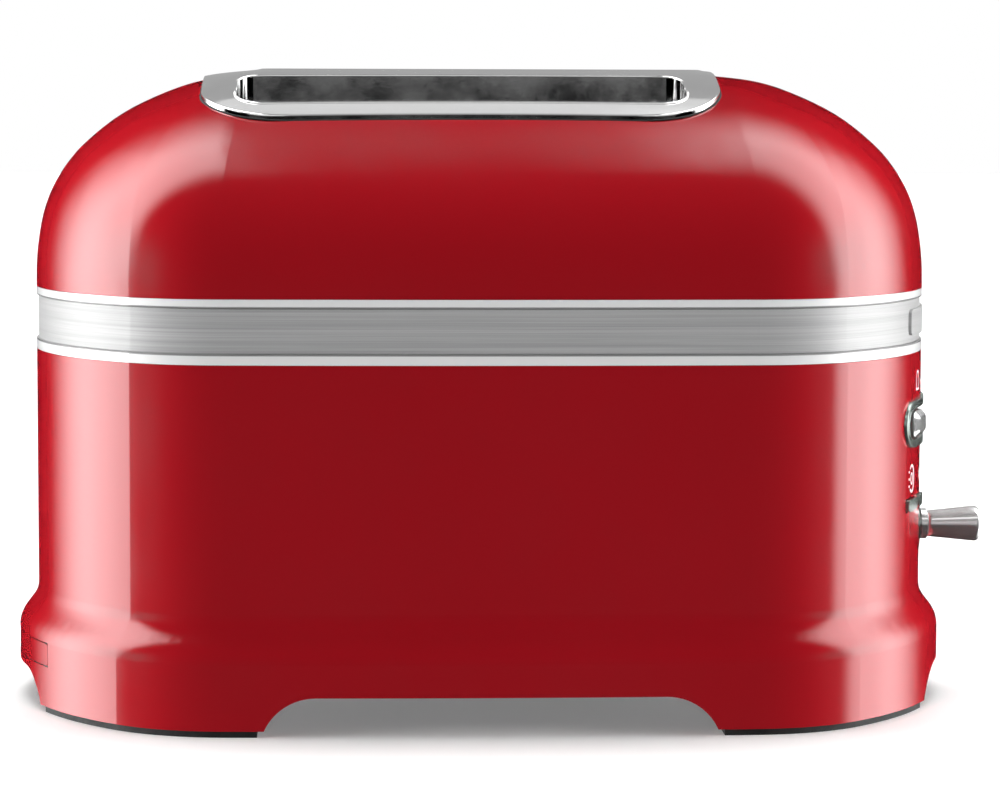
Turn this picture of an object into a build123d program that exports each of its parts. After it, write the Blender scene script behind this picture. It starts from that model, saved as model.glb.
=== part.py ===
"""Two slot pop up toaster with a long domed body, a steel waist band and a motor driven bread lift.

+X points to the control end, +Y to the back, +Z up. The origin is on the worktop, midway
between the rear end of the skirt and the tip of the lever knob. All sizes are millimetres.
"""

import os
from math import acos, asin, atan2, cos, degrees, hypot, pi, radians, sin, sqrt, tan

from build123d import *

os.makedirs("parts", exist_ok=True)

# Plan of the body wall: four bowed sides joined by tangent corner arcs.
HALF_L, HALF_D = 150.1, 96.5
R_END, R_SIDE, R_CORNER = 112.5, 1868.0, 46.6
WALL = 2.0

# Heights.
SKIRT_BOTTOM, SKIRT_TOP, FLARE_TOP = 2.0, 23.0, 38.0
BAND_LOW, BAND_HIGH = 117.2, 137.9
SKIRT_OUT = 6.4
DOME_TOP = 209.4
SEAM = 0.1

# Dome stations: height, half length and half depth of the outer skin.
DOME_STATIONS = [
    (BAND_HIGH + SEAM, 150.1, 96.5),
    (145.0, 150.0, 96.3),
    (152.0, 149.4, 95.5),
    (160.0, 148.1, 93.5),
    (168.0, 145.7, 90.0),
    (176.0, 141.5, 84.8),
    (183.0, 136.2, 78.5),
    (189.0, 129.8, 71.2),
    (194.3, 122.9, 62.2),
    (199.5, 113.7, 50.4),
    (204.0, 103.2, 37.2),
    (207.4, 90.5, 23.4),
    (DOME_TOP, 74.0, 10.0),
]

# Arches in the skirt.
ARCH_TOP, ARCH_R = 12.6, 18.0
SIDE_ARCH_FLAT, END_ARCH_FLAT = 55.5, 32.0

# Slot frame and bread slots.
FRAME_MID_X, FRAME_L, FRAME_W, FRAME_R = -7.85, 170.5, 124.0, 24.0
FRAME_PROUD, FRAME_THICK = 1.35, 3.0
THROAT_L, THROAT_W, THROAT_R = 158.0, 112.0, 14.0
SLOT_Y, SLOT_L, SLOT_W, SLOT_R = 38.5, 147.0, 28.0, 8.0
LIP, LIP_LOW = 1.2, 186.0

LINER_LOW, LINER_SHEET = 158.0, 0.6

# Waist band.
BAND_LIP_LOW, BAND_LIP_HIGH, BAND_SUNK, BAND_THICK = 3.3, 2.7, 0.7, 3.0

# Controls on the +X end, placed by their distance across the end.
BEZEL_Z, BEZEL_L, BEZEL_H, BEZEL_PROUD = 93.6, 102.0, 15.6, 1.0
TRACK_L, TRACK_H = 96.6, 10.4
SLIDER_Y, SLIDER_L, SLIDER_H, SLIDER_PROUD = -37.5, 15.6, 8.8, 2.6
BUTTON_Z, BUTTON_L, BUTTON_H, BUTTON_PROUD, BUTTON_DEEP = 66.8, 12.6, 4.0, 0.9, 7.0
BUTTON_YS = {
    "bagel_button": -42.5,
    "defrost_button": -27.0,
    "keep_warm_button": 27.0,
    "one_side_button": 42.5,
}
BADGE_L, BADGE_H, BADGE_Z = 90.0, 8.6, 127.5
TRACK_WINDOW_END = 9.0
LEVER_SLOT_H, LEVER_SLOT_W = 11.0, 6.4

# Lever.
LEVER_Z, LEVER_PIVOT_X, PIN_R = 55.4, 139.0, 1.5
KNOB_BASE_X, KNOB_WIDE_X, KNOB_TIP_X = 153.9, 170.7, 172.8
KNOB_BASE_R, KNOB_WIDE_R, STEM_R = 4.35, 6.05, 2.5
RUNNING_GAP = 0.05
STEM_DEPTH, COLLAR_R, COLLAR_T = 8.0, 5.2, 2.0
HUB_R, HUB_W, YOKE_HALF, YOKE_BACK_X, ESCUTCHEON_R = 4.6, 8.0, 7.0, 131.0, 9.5
YOKE_SHEET, YOKE_PLATE_W, YOKE_PLATE_H, YOKE_EAR_H, YOKE_LEG_W = 1.5, 30.0, 16.0, 12.0, 12.0

# Lift: rack and pinion of module 1, guide rods and carriage, all drawn with the bread raised.
MODULE, PINION_TEETH, RACK_TEETH, PRESSURE = 1.0, 18, 21, radians(20)
PITCH_R = MODULE * PINION_TEETH / 2
RACK_PITCH_X, RACK_BACK_X, RACK_W, RACK_BELOW = 104.0, 98.0, 6.0, 3
PINION_Z, PINION_W, SHAFT_R, SHAFT_LOW_Y, SHAFT_HIGH_Y = 85.0, 8.0, 2.5, -5.0, 20.0
MESH_GAP, TOOTH_THIN = 0.15, 0.12
ROD_X, ROD_Y, ROD_R = 88.0, 20.0, 2.5
ROD_HIGH, BUSH_R, CARRIAGE_X, BREAD_Z = 146.0, 4.5, 78.0, 97.0
BUSH_L, BUSH_ABOVE, ROD_BOSS_R, BRIDGE_HALF, BRIDGE_SHEET = 24.0, 7.0, 5.0, 30.0, 1.5
RACK_BAR_T, RACK_BAR_H, RACK_TEETH_W, RACK_TEETH_N = 1.6, 6.0, 9.0, 10
GEARBOX_X0, GEARBOX_X1, GEARBOX_Y0, GEARBOX_Y1 = 100.0, 126.0, 8.0, 28.0
GEARBOX_HALF_H, MOTOR_R, MOTOR_L, MOTOR_NOSE_R, MOTOR_NOSE_L = 13.0, 12.5, 30.0, 4.0, 3.0
BRACKET_SHEET, BRACKET_LEG = 1.5, 2.0

# Electronics: the board, and the blocks on it as depth, low y, low z, high y, high z.
BOARD_X, BOARD_T, BOARD_HALF, BOARD_LOW, BOARD_HIGH = 129.0, 1.6, 38.0, 72.0, 112.0
BOARD_BLOCKS = [(12, -36, 76, -16, 94), (8, -36, 98, -24, 108), (6, 20, 101, 32, 109)]
TERMINAL_X, TERMINAL_Y, TERMINAL_HIGH = (-74.0, -46.0), (62.0, 76.0), 28.6

# Oven.
OVEN_LOW, OVEN_HIGH = -84.0, 68.0
FRONT_PLATE_X, REAR_PLATE_X, SHEET = 72.0, -88.8, 0.8
GUARD_OPEN, WIRE_R = 11.5, 0.8
GUARD_WIRES, GUARD_PITCH, GUARD_LOW, GUARD_HIGH = 11, 13.6, 50.0, 184.0
PLATE_HALF, PLATE_LOW, PLATE_HIGH, LEG_HALF, LEG_IN = 64.0, 25.0, 150.0, 4.0, 4.0
ARM_SLOT_HALF, ARM_SLOT_LOW, ARM_SLOT_HIGH = 2.5, 40.0, 112.0
HEATER_OFF, MICA, HEATER_LOW, HEATER_HIGH, RIBBONS = 18.0, 0.8, 42.0, 150.0, 12

# Base and crumb tray.
BASE_LOW, BASE_HIGH = 13.0, 14.6
VENT_XS, VENT_L, VENT_W, VENT_PITCH, VENT_ROWS = (-120.0, 112.0), 44.0, 3.0, 7.0, 5
TRAY_W, TRAY_L, TRAY_LOW, TRAY_HIGH, TRAY_END_X = 108.0, 220.0, 15.2, 22.0, 66.0
TRAY_FRONT_LOW, TRAY_FRONT_HIGH, TRAY_WALL, FINGER_L, FINGER_H = 15.6, 22.8, 1.0, 26.0, 5.0

POST_IN, PAD_FROM_X, PAD_FROM_Y = -8.0, 74.0, 51.0
ROD_LOW, SCREW_R, SCREW_L, SCREW_HEAD = 24.0, 1.5, 12.0, 2.0
BASE_SCREWS = [(x, y) for x in (-100, 100) for y in (-62, 62)]
GLAND_X, GLAND_Z, GLAND_R, GLAND_BORE = -60.0, 50.0, 5.5, 3.6
GLAND_FLANGE, GLAND_FLANGE_T, GLAND_DEPTH = 2.5, 1.6, 11.0

# The body's axis sits this far back so that the origin is midway along the whole toaster.
BODY_X = -(KNOB_TIP_X - HALF_L - SKIRT_OUT) / 2
BODY = Plane((BODY_X, 0, 0))
END_CENTRE_X = HALF_L - R_END


def level(z):
    """Horizontal plane at height z, with its x along the body."""
    return Plane((BODY_X, 0, z))


def across(x):
    """Upright plane across the body at x, with its own x along +Y and its y up."""
    return Plane((BODY_X + x, 0, 0), x_dir=(0, 1, 0), z_dir=(1, 0, 0))


def along(y):
    """Upright plane along the body at y, with its own y up and its normal towards -Y."""
    return Plane((BODY_X, y, 0), x_dir=(1, 0, 0), z_dir=(0, -1, 0))


def on_end(y, out=0.0):
    """Upright plane that touches the curved control end at y, moved out along the normal."""
    turn = asin(y / R_END)
    normal = Vector(cos(turn), sin(turn), 0)
    origin = Vector(BODY_X + END_CENTRE_X, 0, 0) + normal * (R_END + out)
    return Plane(origin, x_dir=(-sin(turn), cos(turn), 0), z_dir=normal)


def outline(grow=0.0, half_l=HALF_L, half_d=HALF_D):
    """Draws the closed plan, as eight tangent arcs, in the BuildLine in use."""
    scale = half_d / HALF_D
    r_end, r_corner = R_END * scale, R_CORNER * scale
    r_side = R_SIDE * (half_l / HALF_L) ** 2 / scale
    side_y, end_x = r_side - half_d, half_l - r_end
    reach_side, reach_end = r_side - r_corner, r_end - r_corner
    apart = hypot(end_x, side_y)
    along_line = (reach_side**2 - reach_end**2 + apart**2) / (2 * apart)
    off_line = sqrt(reach_side**2 - along_line**2)
    x = (end_x * along_line + side_y * off_line) / apart
    y = side_y - (side_y * along_line - end_x * off_line) / apart
    y = -abs(y)
    x = abs(x)
    low = degrees(atan2(y - side_y, x))
    high = degrees(atan2(y, x - end_x))
    CenterArc((0, side_y), r_side + grow, -180 - low, 2 * (90 + low))
    CenterArc((x, y), r_corner + grow, low, high - low)
    CenterArc((end_x, 0), r_end + grow, high, -2 * high)
    CenterArc((x, -y), r_corner + grow, -high, high - low)
    CenterArc((0, -side_y), r_side + grow, -low, 2 * (90 + low))
    CenterArc((-x, -y), r_corner + grow, 180 + low, high - low)
    CenterArc((-end_x, 0), r_end + grow, 180 + high, -2 * high)
    CenterArc((-x, y), r_corner + grow, 180 - high, high - low)


def sheet(low, high):
    """Plain block from its lowest to its highest corner, in the body's own coordinates."""
    with BuildPart(BODY) as block:
        with Locations(tuple((a + b) / 2 for a, b in zip(low, high))):
            Box(*[b - a for a, b in zip(low, high)])
    return block.part


def ring(low, high, outer, inner):
    """Upright wall of the body's plan between two offsets from the body wall."""
    with BuildPart() as wall:
        with BuildSketch(level(low)):
            with BuildLine():
                outline(outer)
            make_face()
            with BuildLine():
                outline(inner)
            make_face(mode=Mode.SUBTRACT)
        extrude(amount=high - low)
    return wall.part


def dome(raise_by=0.0, shrink=0.0):
    """Solid under the domed top, raised by a height or shrunk by a wall thickness."""
    with BuildPart() as solid:
        for number, (z, half_l, half_d) in enumerate(DOME_STATIONS):
            drop = 1.0 if number == 0 and shrink else shrink
            with BuildSketch(level(z + raise_by - drop)):
                with BuildLine():
                    outline(0, half_l - shrink, half_d - shrink)
                make_face()
        loft()
    return solid.part


def corner_pads(low, high, outer, inner):
    """The four corner stretches of a ring of the plan, clear of the arches."""
    with BuildPart() as pads:
        add(ring(low, high, outer, inner))
        with BuildSketch(level(low)):
            Rectangle(2 * PAD_FROM_X, 4 * HALF_D)
            Rectangle(4 * HALF_L, 2 * PAD_FROM_Y)
        extrude(amount=high - low, mode=Mode.SUBTRACT)
    return pads.part


dome_skin = dome()
dome_core = dome(shrink=WALL)

with BuildPart() as upper_shell:
    add(dome_skin)
    add(dome_core, mode=Mode.SUBTRACT)
    with BuildSketch(level(150)):
        with Locations((FRAME_MID_X, 0)):
            RectangleRounded(THROAT_L, THROAT_W, THROAT_R)
    extrude(amount=80, mode=Mode.SUBTRACT)


def arch(flat_half):
    """Draws a skirt arch: a flat top that falls to the worktop in a round at each side."""
    drop = ARCH_R - ARCH_TOP
    foot = flat_half + sqrt(ARCH_R**2 - drop**2)
    lean = ARCH_R * cos(radians(45))
    Polyline((-foot, 0), (-foot, -5), (foot, -5), (foot, 0))
    ThreePointArc((foot, 0), (flat_half + lean, lean - drop), (flat_half, ARCH_TOP))
    Line((flat_half, ARCH_TOP), (-flat_half, ARCH_TOP))
    ThreePointArc((-flat_half, ARCH_TOP), (-flat_half - lean, lean - drop), (-foot, 0))


with BuildPart() as lower_shell:
    with BuildLine(level(0)) as wall_path:
        outline()
    with BuildSketch(along(0)):
        with BuildLine():
            skirt_l = HALF_L + SKIRT_OUT
            up = ((0, 1), (0, 1))
            Line((skirt_l, SKIRT_BOTTOM), (skirt_l, SKIRT_TOP))
            Spline((skirt_l, SKIRT_TOP), (HALF_L, FLARE_TOP), tangents=up)
            Polyline(
                (HALF_L, FLARE_TOP),
                (HALF_L, BAND_LOW - SEAM),
                (HALF_L - WALL, BAND_LOW - SEAM),
                (HALF_L - WALL, FLARE_TOP + 1),
            )
            Spline((skirt_l - WALL, SKIRT_TOP + 1), (HALF_L - WALL, FLARE_TOP + 1), tangents=up)
            Polyline(
                (skirt_l - WALL, SKIRT_TOP + 1), (skirt_l - WALL, SKIRT_BOTTOM), (skirt_l, SKIRT_BOTTOM)
            )
        make_face()
    sweep(path=wall_path.wires()[0])
    with BuildSketch(along(0)):
        with BuildLine():
            arch(SIDE_ARCH_FLAT)
        make_face()
    extrude(amount=2 * HALF_D, both=True, mode=Mode.SUBTRACT)
    with BuildSketch(across(0)):
        with BuildLine():
            arch(END_ARCH_FLAT)
        make_face()
    extrude(amount=2 * HALF_L, both=True, mode=Mode.SUBTRACT)
    # Window of the crumb tray, in the rear end of the skirt.
    with BuildSketch(across(-HALF_L - 20)):
        with Locations((0, (TRAY_FRONT_LOW + TRAY_FRONT_HIGH) / 2)):
            Rectangle(TRAY_W + 1.0, TRAY_FRONT_HIGH - TRAY_FRONT_LOW + 0.8)
    extrude(amount=40, mode=Mode.SUBTRACT)
    # Track of the browning slider, the lever's slot and the four button holes.
    with BuildSketch(across(100)):
        with Locations((0, BEZEL_Z)):
            SlotOverall(TRACK_L, TRACK_H)
        with Locations((0, LEVER_Z)):
            SlotOverall(LEVER_SLOT_H, LEVER_SLOT_W, rotation=90)
    extrude(amount=60, mode=Mode.SUBTRACT)
    for button_y in BUTTON_YS.values():
        with BuildSketch(on_end(button_y, -8)):
            with Locations((0, BUTTON_Z)):
                RectangleRounded(BUTTON_L + 0.8, BUTTON_H + 0.8, 1.6)
        extrude(amount=20, mode=Mode.SUBTRACT)
    # Hole of the cord gland, in the back.
    with BuildSketch(along(HALF_D - 10)):
        with Locations((GLAND_X, GLAND_Z)):
            Circle(GLAND_R + 0.2)
    extrude(amount=-30, mode=Mode.SUBTRACT)

with BuildPart() as trim_band:
    with BuildLine(level(0)) as band_path:
        outline()
    with BuildSketch(along(0)):
        with BuildLine():
            Polyline(
                (HALF_L, BAND_LOW),
                (HALF_L, BAND_LOW + BAND_LIP_LOW),
                (HALF_L - BAND_SUNK, BAND_LOW + BAND_LIP_LOW + BAND_SUNK / 2),
                (HALF_L - BAND_SUNK, BAND_HIGH - BAND_LIP_HIGH - BAND_SUNK / 2),
                (HALF_L, BAND_HIGH - BAND_LIP_HIGH),
                (HALF_L, BAND_HIGH),
                (HALF_L - BAND_THICK, BAND_HIGH),
                (HALF_L - BAND_THICK, BAND_LOW),
                close=True,
            )
        make_face()
    sweep(path=band_path.wires()[0])

with BuildPart() as end_badge:
    add(ring(BADGE_Z - BADGE_H / 2, BADGE_Z + BADGE_H / 2, 0.2, -BAND_SUNK))
    with BuildSketch(across(100)):
        with Locations((0, BADGE_Z)):
            RectangleRounded(BADGE_L, BADGE_H, 2)
    extrude(amount=60, mode=Mode.INTERSECT)


def slot_sketch(grow=0.0, mode=Mode.ADD):
    """Both bread slots in plan, grown by an offset."""
    with Locations((FRAME_MID_X, -SLOT_Y), (FRAME_MID_X, SLOT_Y)):
        RectangleRounded(SLOT_L + 2 * grow, SLOT_W + 2 * grow, SLOT_R + grow, mode=mode)


# The part of the dome that the chrome frame lies on.
with BuildPart() as frame_seat:
    add(dome_skin)
    with BuildSketch(level(150)):
        with Locations((FRAME_MID_X, 0)):
            RectangleRounded(THROAT_L - 0.6, THROAT_W - 0.6, THROAT_R - 0.3)
    extrude(amount=80, mode=Mode.SUBTRACT)

# The chrome frame covers the edge of the throat, and turns down into both slots.
with BuildPart() as slot_frame:
    with BuildSketch(level(LIP_LOW)):
        with Locations((FRAME_MID_X, 0)):
            RectangleRounded(FRAME_L, FRAME_W, FRAME_R)
    extrude(amount=40)
    add(dome(raise_by=-FRAME_THICK + FRAME_PROUD), mode=Mode.SUBTRACT)
    with BuildSketch(level(LIP_LOW)):
        slot_sketch(grow=LIP)
    extrude(amount=40)
    add(dome(raise_by=FRAME_PROUD), mode=Mode.INTERSECT)
    with BuildSketch(level(LIP_LOW)):
        slot_sketch()
    extrude(amount=40, mode=Mode.SUBTRACT)
    add(frame_seat.part, mode=Mode.SUBTRACT)

# Black sheet tubes that carry the bread from the frame down between the heaters.
with BuildPart() as throat_liners:
    with BuildSketch(level(LINER_LOW)):
        slot_sketch(grow=LIP)
        slot_sketch(grow=LIP - LINER_SHEET, mode=Mode.SUBTRACT)
    extrude(amount=LIP_LOW - LINER_LOW)

# Base plate with vents, corner posts on the rubber feet and bosses for the guide rods.
with BuildPart() as base_plate:
    with BuildSketch(level(BASE_LOW)):
        with BuildLine():
            outline(SKIRT_OUT - WALL - 0.5)
        make_face()
        for vent_x in VENT_XS:
            with Locations((vent_x, 0)):
                with GridLocations(VENT_PITCH, 0, VENT_ROWS, 1):
                    SlotOverall(VENT_L, VENT_W, rotation=90, mode=Mode.SUBTRACT)
        with Locations(*BASE_SCREWS):
            Circle(SCREW_R + 0.3, mode=Mode.SUBTRACT)
    extrude(amount=BASE_HIGH - BASE_LOW)
    add(corner_pads(SKIRT_BOTTOM, BASE_LOW, SKIRT_OUT - WALL - 0.5, POST_IN))
    with BuildSketch(level(BASE_HIGH)):
        with Locations((ROD_X, -ROD_Y), (ROD_X, ROD_Y)):
            Circle(ROD_BOSS_R)
    extrude(amount=ROD_LOW - BASE_HIGH)

with BuildPart() as rubber_feet:
    add(corner_pads(0, SKIRT_BOTTOM, SKIRT_OUT - 0.6, POST_IN))

with BuildPart(level(BASE_LOW)) as base_screws:
    with Locations(*BASE_SCREWS):
        Cylinder(SCREW_R, SCREW_L, align=(Align.CENTER, Align.CENTER, Align.MIN))
        Cylinder(SCREW_R * 2, SCREW_HEAD, align=(Align.CENTER, Align.CENTER, Align.MAX))

with BuildPart(Plane((BODY_X + GLAND_X, HALF_D - 0.6, GLAND_Z), z_dir=(0, 1, 0))) as cord_gland:
    Cylinder(GLAND_R + GLAND_FLANGE, GLAND_FLANGE_T, align=(Align.CENTER, Align.CENTER, Align.MIN))
    Cylinder(GLAND_R, GLAND_DEPTH, align=(Align.CENTER, Align.CENTER, Align.MAX))
    Hole(GLAND_BORE)

# Crumb tray: a shallow pan behind a front that closes the window in the skirt.
with BuildPart() as crumb_tray:
    with BuildSketch(level(TRAY_LOW)):
        with BuildLine():
            outline(SKIRT_OUT - WALL + 0.3)
        make_face()
        Rectangle(TRAY_L * 2, TRAY_W - TRAY_WALL, mode=Mode.INTERSECT)
        with Locations((TRAY_L + TRAY_END_X, 0)):
            Rectangle(TRAY_L * 2, TRAY_W, mode=Mode.SUBTRACT)
    extrude(amount=TRAY_HIGH - TRAY_LOW)
    with BuildSketch(level(TRAY_LOW + TRAY_WALL)):
        with BuildLine():
            outline(SKIRT_OUT - WALL - TRAY_WALL)
        make_face()
        Rectangle(TRAY_L * 2, TRAY_W - 3 * TRAY_WALL, mode=Mode.INTERSECT)
        with Locations((TRAY_L + TRAY_END_X - TRAY_WALL, 0)):
            Rectangle(TRAY_L * 2, TRAY_W, mode=Mode.SUBTRACT)
    extrude(amount=TRAY_HIGH, mode=Mode.SUBTRACT)

with BuildPart() as tray_front:
    add(ring(TRAY_FRONT_LOW, TRAY_FRONT_HIGH, SKIRT_OUT - 0.1, SKIRT_OUT - WALL + 0.3))
    with BuildSketch(across(-HALF_L - 20)):
        with Locations((0, (TRAY_FRONT_LOW + TRAY_FRONT_HIGH) / 2)):
            RectangleRounded(TRAY_W, TRAY_FRONT_HIGH - TRAY_FRONT_LOW, 1)
        with Locations((0, TRAY_FRONT_LOW)):
            SlotOverall(FINGER_L, FINGER_H, mode=Mode.SUBTRACT)
    extrude(amount=40, mode=Mode.INTERSECT)

# Browning control: bezel, sunk track and slider, all concentric with the bowed end.
with BuildPart() as shade_bezel:
    add(ring(BEZEL_Z - BEZEL_H, BEZEL_Z + BEZEL_H, BEZEL_PROUD, 0.05))
    with BuildSketch(across(100)):
        with Locations((0, BEZEL_Z)):
            SlotOverall(BEZEL_L, BEZEL_H)
            SlotOverall(TRACK_L, TRACK_H, mode=Mode.SUBTRACT)
    extrude(amount=60, mode=Mode.INTERSECT)

with BuildPart() as shade_track:
    add(ring(BEZEL_Z - BEZEL_H, BEZEL_Z + BEZEL_H, -0.9, -1.7))
    with BuildSketch(across(100)):
        with Locations((0, BEZEL_Z)):
            SlotOverall(TRACK_L - 0.4, TRACK_H - 0.4)
            SlotOverall(-2 * SLIDER_Y + TRACK_WINDOW_END, 3, mode=Mode.SUBTRACT)
    extrude(amount=60, mode=Mode.INTERSECT)

with BuildPart() as shade_slider:
    with BuildSketch(on_end(SLIDER_Y, 0.1)):
        with Locations((0, BEZEL_Z)):
            RectangleRounded(SLIDER_L, SLIDER_H, 3)
    extrude(amount=1.0)
    with BuildSketch(on_end(SLIDER_Y, 1.1)):
        with Locations((0, BEZEL_Z)):
            RectangleRounded(SLIDER_L, SLIDER_H, 3)
    extrude(amount=SLIDER_PROUD - 1.0, taper=50)
    with BuildSketch(on_end(SLIDER_Y, -7)):
        with Locations((0, BEZEL_Z)):
            Rectangle(5, 2.2)
    extrude(amount=7.2)
    with BuildSketch(on_end(SLIDER_Y, -8)):
        with Locations((0, BEZEL_Z)):
            Rectangle(9, 7)
    extrude(amount=4.5)


def function_button(y):
    """One function button: a cap through the wall and a flange that stops behind it."""
    with BuildPart() as button:
        with BuildSketch(on_end(y, -BUTTON_DEEP)):
            with Locations((0, BUTTON_Z)):
                RectangleRounded(BUTTON_L, BUTTON_H, 1.3)
        extrude(amount=BUTTON_DEEP + BUTTON_PROUD)
        with BuildSketch(on_end(y, -4.2)):
            with Locations((0, BUTTON_Z)):
                RectangleRounded(BUTTON_L + 2, BUTTON_H + 3, 1.5)
        extrude(amount=1.4)
    return button


buttons = {name: function_button(y) for name, y in BUTTON_YS.items()}

# Lever: a sprung toggle on a cross pin behind the wall.
with BuildPart() as lever_knob:
    with BuildSketch(across(KNOB_BASE_X)):
        with Locations((0, LEVER_Z)):
            Circle(KNOB_BASE_R)
    with BuildSketch(across(KNOB_WIDE_X)):
        with Locations((0, LEVER_Z)):
            Circle(KNOB_WIDE_R)
    loft()
    with BuildSketch(along(0)):
        with BuildLine():
            Line((KNOB_WIDE_X, LEVER_Z), (KNOB_WIDE_X, LEVER_Z + KNOB_WIDE_R))
            Spline(
                (KNOB_WIDE_X, LEVER_Z + KNOB_WIDE_R),
                (KNOB_WIDE_X + 1.3, LEVER_Z + KNOB_WIDE_R - 1.4),
                (KNOB_TIP_X, LEVER_Z),
                tangents=((1, 0.1), (0, -1)),
            )
            Line((KNOB_TIP_X, LEVER_Z), (KNOB_WIDE_X, LEVER_Z))
        make_face()
    revolve(axis=Axis((BODY_X, 0, LEVER_Z), (1, 0, 0)))
    with BuildSketch(across(KNOB_BASE_X)):
        with Locations((0, LEVER_Z)):
            Circle(STEM_R)
    extrude(amount=STEM_DEPTH, mode=Mode.SUBTRACT)

with BuildPart() as lever_arm:
    with BuildSketch(along(-HUB_W / 2)):
        with Locations((LEVER_PIVOT_X, LEVER_Z)):
            Circle(HUB_R)
    extrude(amount=-HUB_W)
    with BuildSketch(across(LEVER_PIVOT_X)):
        with Locations((0, LEVER_Z)):
            Circle(STEM_R)
    extrude(amount=KNOB_BASE_X + STEM_DEPTH - LEVER_PIVOT_X)
    with BuildSketch(across(KNOB_BASE_X - COLLAR_T)):
        with Locations((0, LEVER_Z)):
            Circle(COLLAR_R)
    extrude(amount=COLLAR_T)
    with BuildSketch(along(-HUB_W / 2)):
        with Locations((LEVER_PIVOT_X, LEVER_Z)):
            Circle(PIN_R + RUNNING_GAP)
    extrude(amount=-HUB_W, mode=Mode.SUBTRACT)

with BuildPart() as lever_escutcheon:
    add(ring(LEVER_Z - 12, LEVER_Z + 12, 0.8, 0.05))
    with BuildSketch(across(100)):
        with Locations((0, LEVER_Z)):
            Circle(ESCUTCHEON_R)
            SlotOverall(LEVER_SLOT_H - 0.4, LEVER_SLOT_W - 0.4, rotation=90, mode=Mode.SUBTRACT)
    extrude(amount=60, mode=Mode.INTERSECT)

with BuildPart(BODY) as lever_pin:
    with Locations((LEVER_PIVOT_X, 0, LEVER_Z)):
        Cylinder(PIN_R, 2 * YOKE_HALF + 1, rotation=(90, 0, 0))

with BuildPart(BODY) as lever_bracket:
    ear_l = LEVER_PIVOT_X + 2 * PIN_R - YOKE_BACK_X
    with Locations((YOKE_BACK_X, 0, LEVER_Z)):
        Box(YOKE_SHEET, YOKE_PLATE_W, YOKE_PLATE_H)
    for side in (-1, 1):
        with Locations((YOKE_BACK_X + ear_l / 2, side * (YOKE_HALF - YOKE_SHEET / 2), LEVER_Z)):
            Box(ear_l, YOKE_SHEET, YOKE_EAR_H)
    with Locations((YOKE_BACK_X, 0, (LEVER_Z + BASE_HIGH) / 2)):
        Box(YOKE_SHEET, YOKE_LEG_W, LEVER_Z - BASE_HIGH)
    with Locations((LEVER_PIVOT_X, 0, LEVER_Z)):
        Cylinder(PIN_R, 4 * YOKE_HALF, rotation=(90, 0, 0), mode=Mode.SUBTRACT)

# Oven: end plates, reflectors, four mica boards with their ribbons, and four bread guards.
def end_plate(x):
    """Upright plate on two legs that closes one end of the oven."""
    with BuildPart() as plate:
        add(sheet((x, -PLATE_HALF, PLATE_LOW), (x + SHEET, PLATE_HALF, PLATE_HIGH)))
        for side in (-1, 1):
            leg_y = side * (PLATE_HALF - LEG_IN)
            add(sheet((x, leg_y - LEG_HALF, BASE_HIGH), (x + SHEET, leg_y + LEG_HALF, PLATE_LOW)))
    return plate


rear_end_plate = end_plate(REAR_PLATE_X)

with BuildPart() as front_end_plate:
    add(end_plate(FRONT_PLATE_X).part)
    for side in (-1, 1):
        low_arm = (FRONT_PLATE_X - 1, side * SLOT_Y - ARM_SLOT_HALF, ARM_SLOT_LOW)
        high_arm = (FRONT_PLATE_X + 2, side * SLOT_Y + ARM_SLOT_HALF, ARM_SLOT_HIGH)
        add(sheet(low_arm, high_arm), mode=Mode.SUBTRACT)


def reflector(side):
    """Bright side sheet of the oven, turned in at its foot to throw crumbs to the tray."""
    outer, foot = side * (PLATE_HALF + 0.2), side * 55.0
    with BuildPart() as panel:
        with BuildSketch(across(OVEN_LOW)):
            with BuildLine():
                Polyline(
                    (outer, PLATE_HIGH),
                    (outer, 40),
                    (foot, 28),
                    (foot + side * 0.5, 27.2),
                    (outer + side * SHEET, 39.6),
                    (outer + side * SHEET, PLATE_HIGH),
                    close=True,
                )
            make_face()
        extrude(amount=OVEN_HIGH - OVEN_LOW)
    return panel


front_reflector = reflector(-1)
back_reflector = reflector(1)


def heater_board(y):
    """Mica board that carries the heating ribbon."""
    with BuildPart() as board:
        add(sheet((OVEN_LOW + 2, y - MICA / 2, HEATER_LOW), (OVEN_HIGH - 2, y + MICA / 2, HEATER_HIGH)))
    return board


heater_ys = [side * SLOT_Y + face * HEATER_OFF for side in (-1, 1) for face in (-1, 1)]
heaters = {
    "front_outer_heater": heater_board(heater_ys[0]),
    "front_inner_heater": heater_board(heater_ys[1]),
    "back_inner_heater": heater_board(heater_ys[2]),
    "back_outer_heater": heater_board(heater_ys[3]),
}

with BuildPart(BODY) as heater_ribbons:
    for number_y, board_y in enumerate(heater_ys):
        ribbon_y = board_y + (MICA if number_y % 2 == 0 else -MICA)
        for number in range(RIBBONS):
            ribbon_z = HEATER_LOW + 6 + number * (HEATER_HIGH - HEATER_LOW - 12) / (RIBBONS - 1)
            with Locations(((OVEN_LOW + OVEN_HIGH) / 2, ribbon_y, ribbon_z)):
                Box(OVEN_HIGH - OVEN_LOW - 8, 0.4, 2)


def bread_guard(y):
    """Upright wire grid that centres the bread."""
    with BuildPart(BODY) as guard:
        length = (GUARD_WIRES - 1) * GUARD_PITCH
        with Locations((FRAME_MID_X, y, (GUARD_LOW + GUARD_HIGH) / 2)):
            with GridLocations(GUARD_PITCH, 1, GUARD_WIRES, 1):
                Cylinder(WIRE_R, GUARD_HIGH - GUARD_LOW)
        for wire_z in (GUARD_LOW, (GUARD_LOW + GUARD_HIGH) / 2, GUARD_HIGH):
            with Locations((FRAME_MID_X, y, wire_z)):
                Cylinder(WIRE_R, length + 2 * WIRE_R, rotation=(0, 90, 0))
    return guard


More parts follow.
